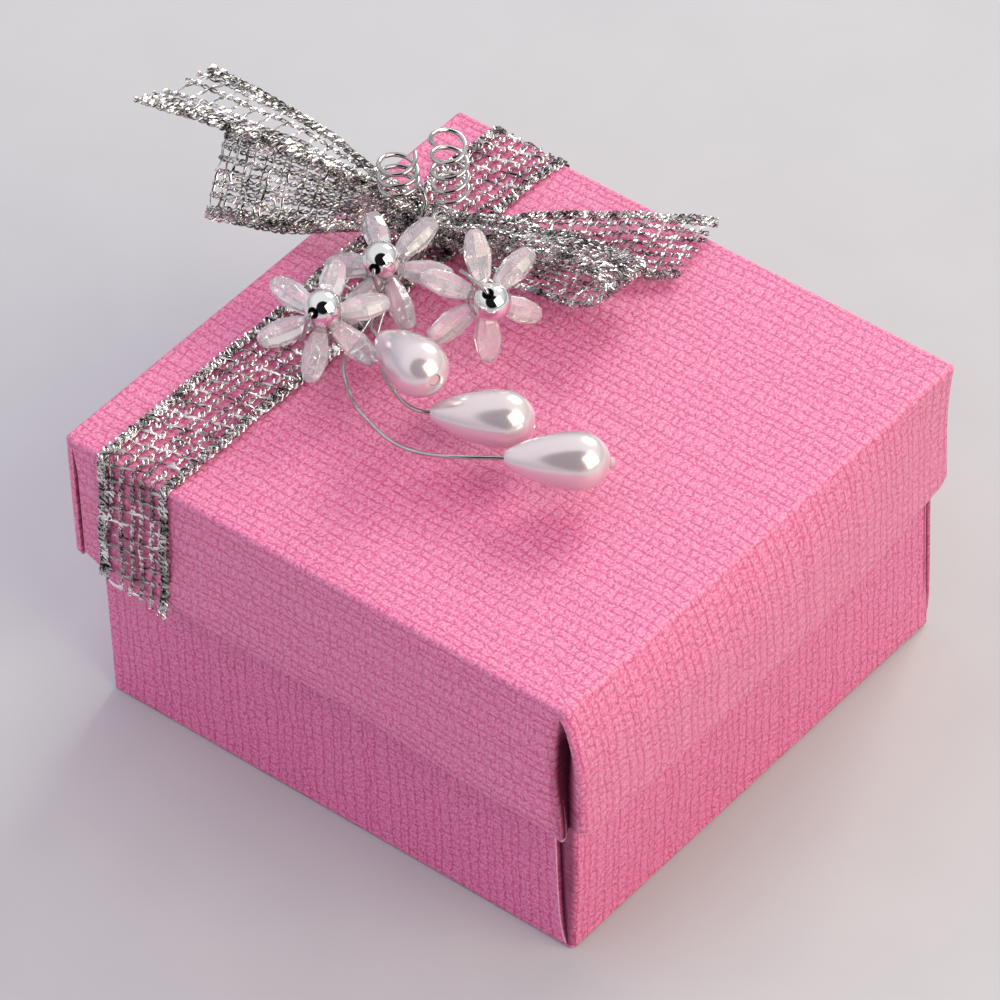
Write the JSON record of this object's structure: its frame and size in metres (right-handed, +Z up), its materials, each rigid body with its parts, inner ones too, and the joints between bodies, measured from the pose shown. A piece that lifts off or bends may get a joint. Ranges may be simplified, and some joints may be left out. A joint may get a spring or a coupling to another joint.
{
  "type": "gift box with ribbon bow and bead spray",
  "caption": "Small card favour box with a lift-off lid, a metallic mesh ribbon and bow, and a wired spray of bead flowers and pearl drops on top.",
  "frame": {"origin": "centre of the tray's underside, where the box stands", "axes": "+Z up out of the lid; -Y towards the wall where the ribbon's front end hangs; +X towards the side away from the ribbon"},
  "size_m": [0.0847, 0.0701, 0.0585],
  "materials": {
    "pink_card": "embossed matte card",
    "silver_ribbon": "metallic open mesh",
    "clear_glue": "dried glue",
    "silver_wire": "bright drawn wire",
    "mirror_bead": "metallised mirror plastic",
    "crystal_petal": "clear faceted acrylic with a pearl sheen",
    "pearl": "satin pearl coat"
  },
  "bodies": {
    "base": {"base_tray": "pink_card"},
    "lid": {"lid": "pink_card", "ribbon_band": "silver_ribbon", "bow_left_loop": "silver_ribbon", "bow_right_loop": "silver_ribbon", "bow_left_tail": "silver_ribbon", "bow_right_tail": "silver_ribbon", "bow_knot": "silver_ribbon", "glue_dot": "clear_glue", "stem_bundle": "silver_wire", "binding_wire": "silver_wire", "curl_left": "silver_wire", "curl_right": "silver_wire", "flower_1_wire": "silver_wire", "flower_1_ring": "silver_wire", "flower_1_bead": "mirror_bead", "flower_1_petal_1": "crystal_petal", "flower_1_petal_2": "crystal_petal", "flower_1_petal_3": "crystal_petal", "flower_1_petal_4": "crystal_petal", "flower_1_petal_5": "crystal_petal", "flower_1_petal_6": "crystal_petal", "pearl_1": "pearl", "pearl_1_stem": "silver_wire", "pearl_1_glue": "clear_glue", "flower_2_wire": "silver_wire", "flower_2_ring": "silver_wire", "flower_2_bead": "mirror_bead", "flower_2_petal_1": "crystal_petal", "flower_2_petal_2": "crystal_petal", "flower_2_petal_3": "crystal_petal", "flower_2_petal_4": "crystal_petal", "flower_2_petal_5": "crystal_petal", "flower_2_petal_6": "crystal_petal", "pearl_2": "pearl", "pearl_2_stem": "silver_wire", "pearl_2_glue": "clear_glue", "flower_3_wire": "silver_wire", "flower_3_ring": "silver_wire", "flower_3_bead": "mirror_bead", "flower_3_petal_1": "crystal_petal", "flower_3_petal_2": "crystal_petal", "flower_3_petal_3": "crystal_petal", "flower_3_petal_4": "crystal_petal", "flower_3_petal_5": "crystal_petal", "flower_3_petal_6": "crystal_petal", "pearl_3": "pearl", "pearl_3_stem": "silver_wire", "pearl_3_glue": "clear_glue"}
  },
  "joints": [
    {"name": "lid_lift", "type": "slide", "parent": "base", "child": "lid", "axis": [0, 0, 1], "range_m": [0, 0.04]}
  ]
}
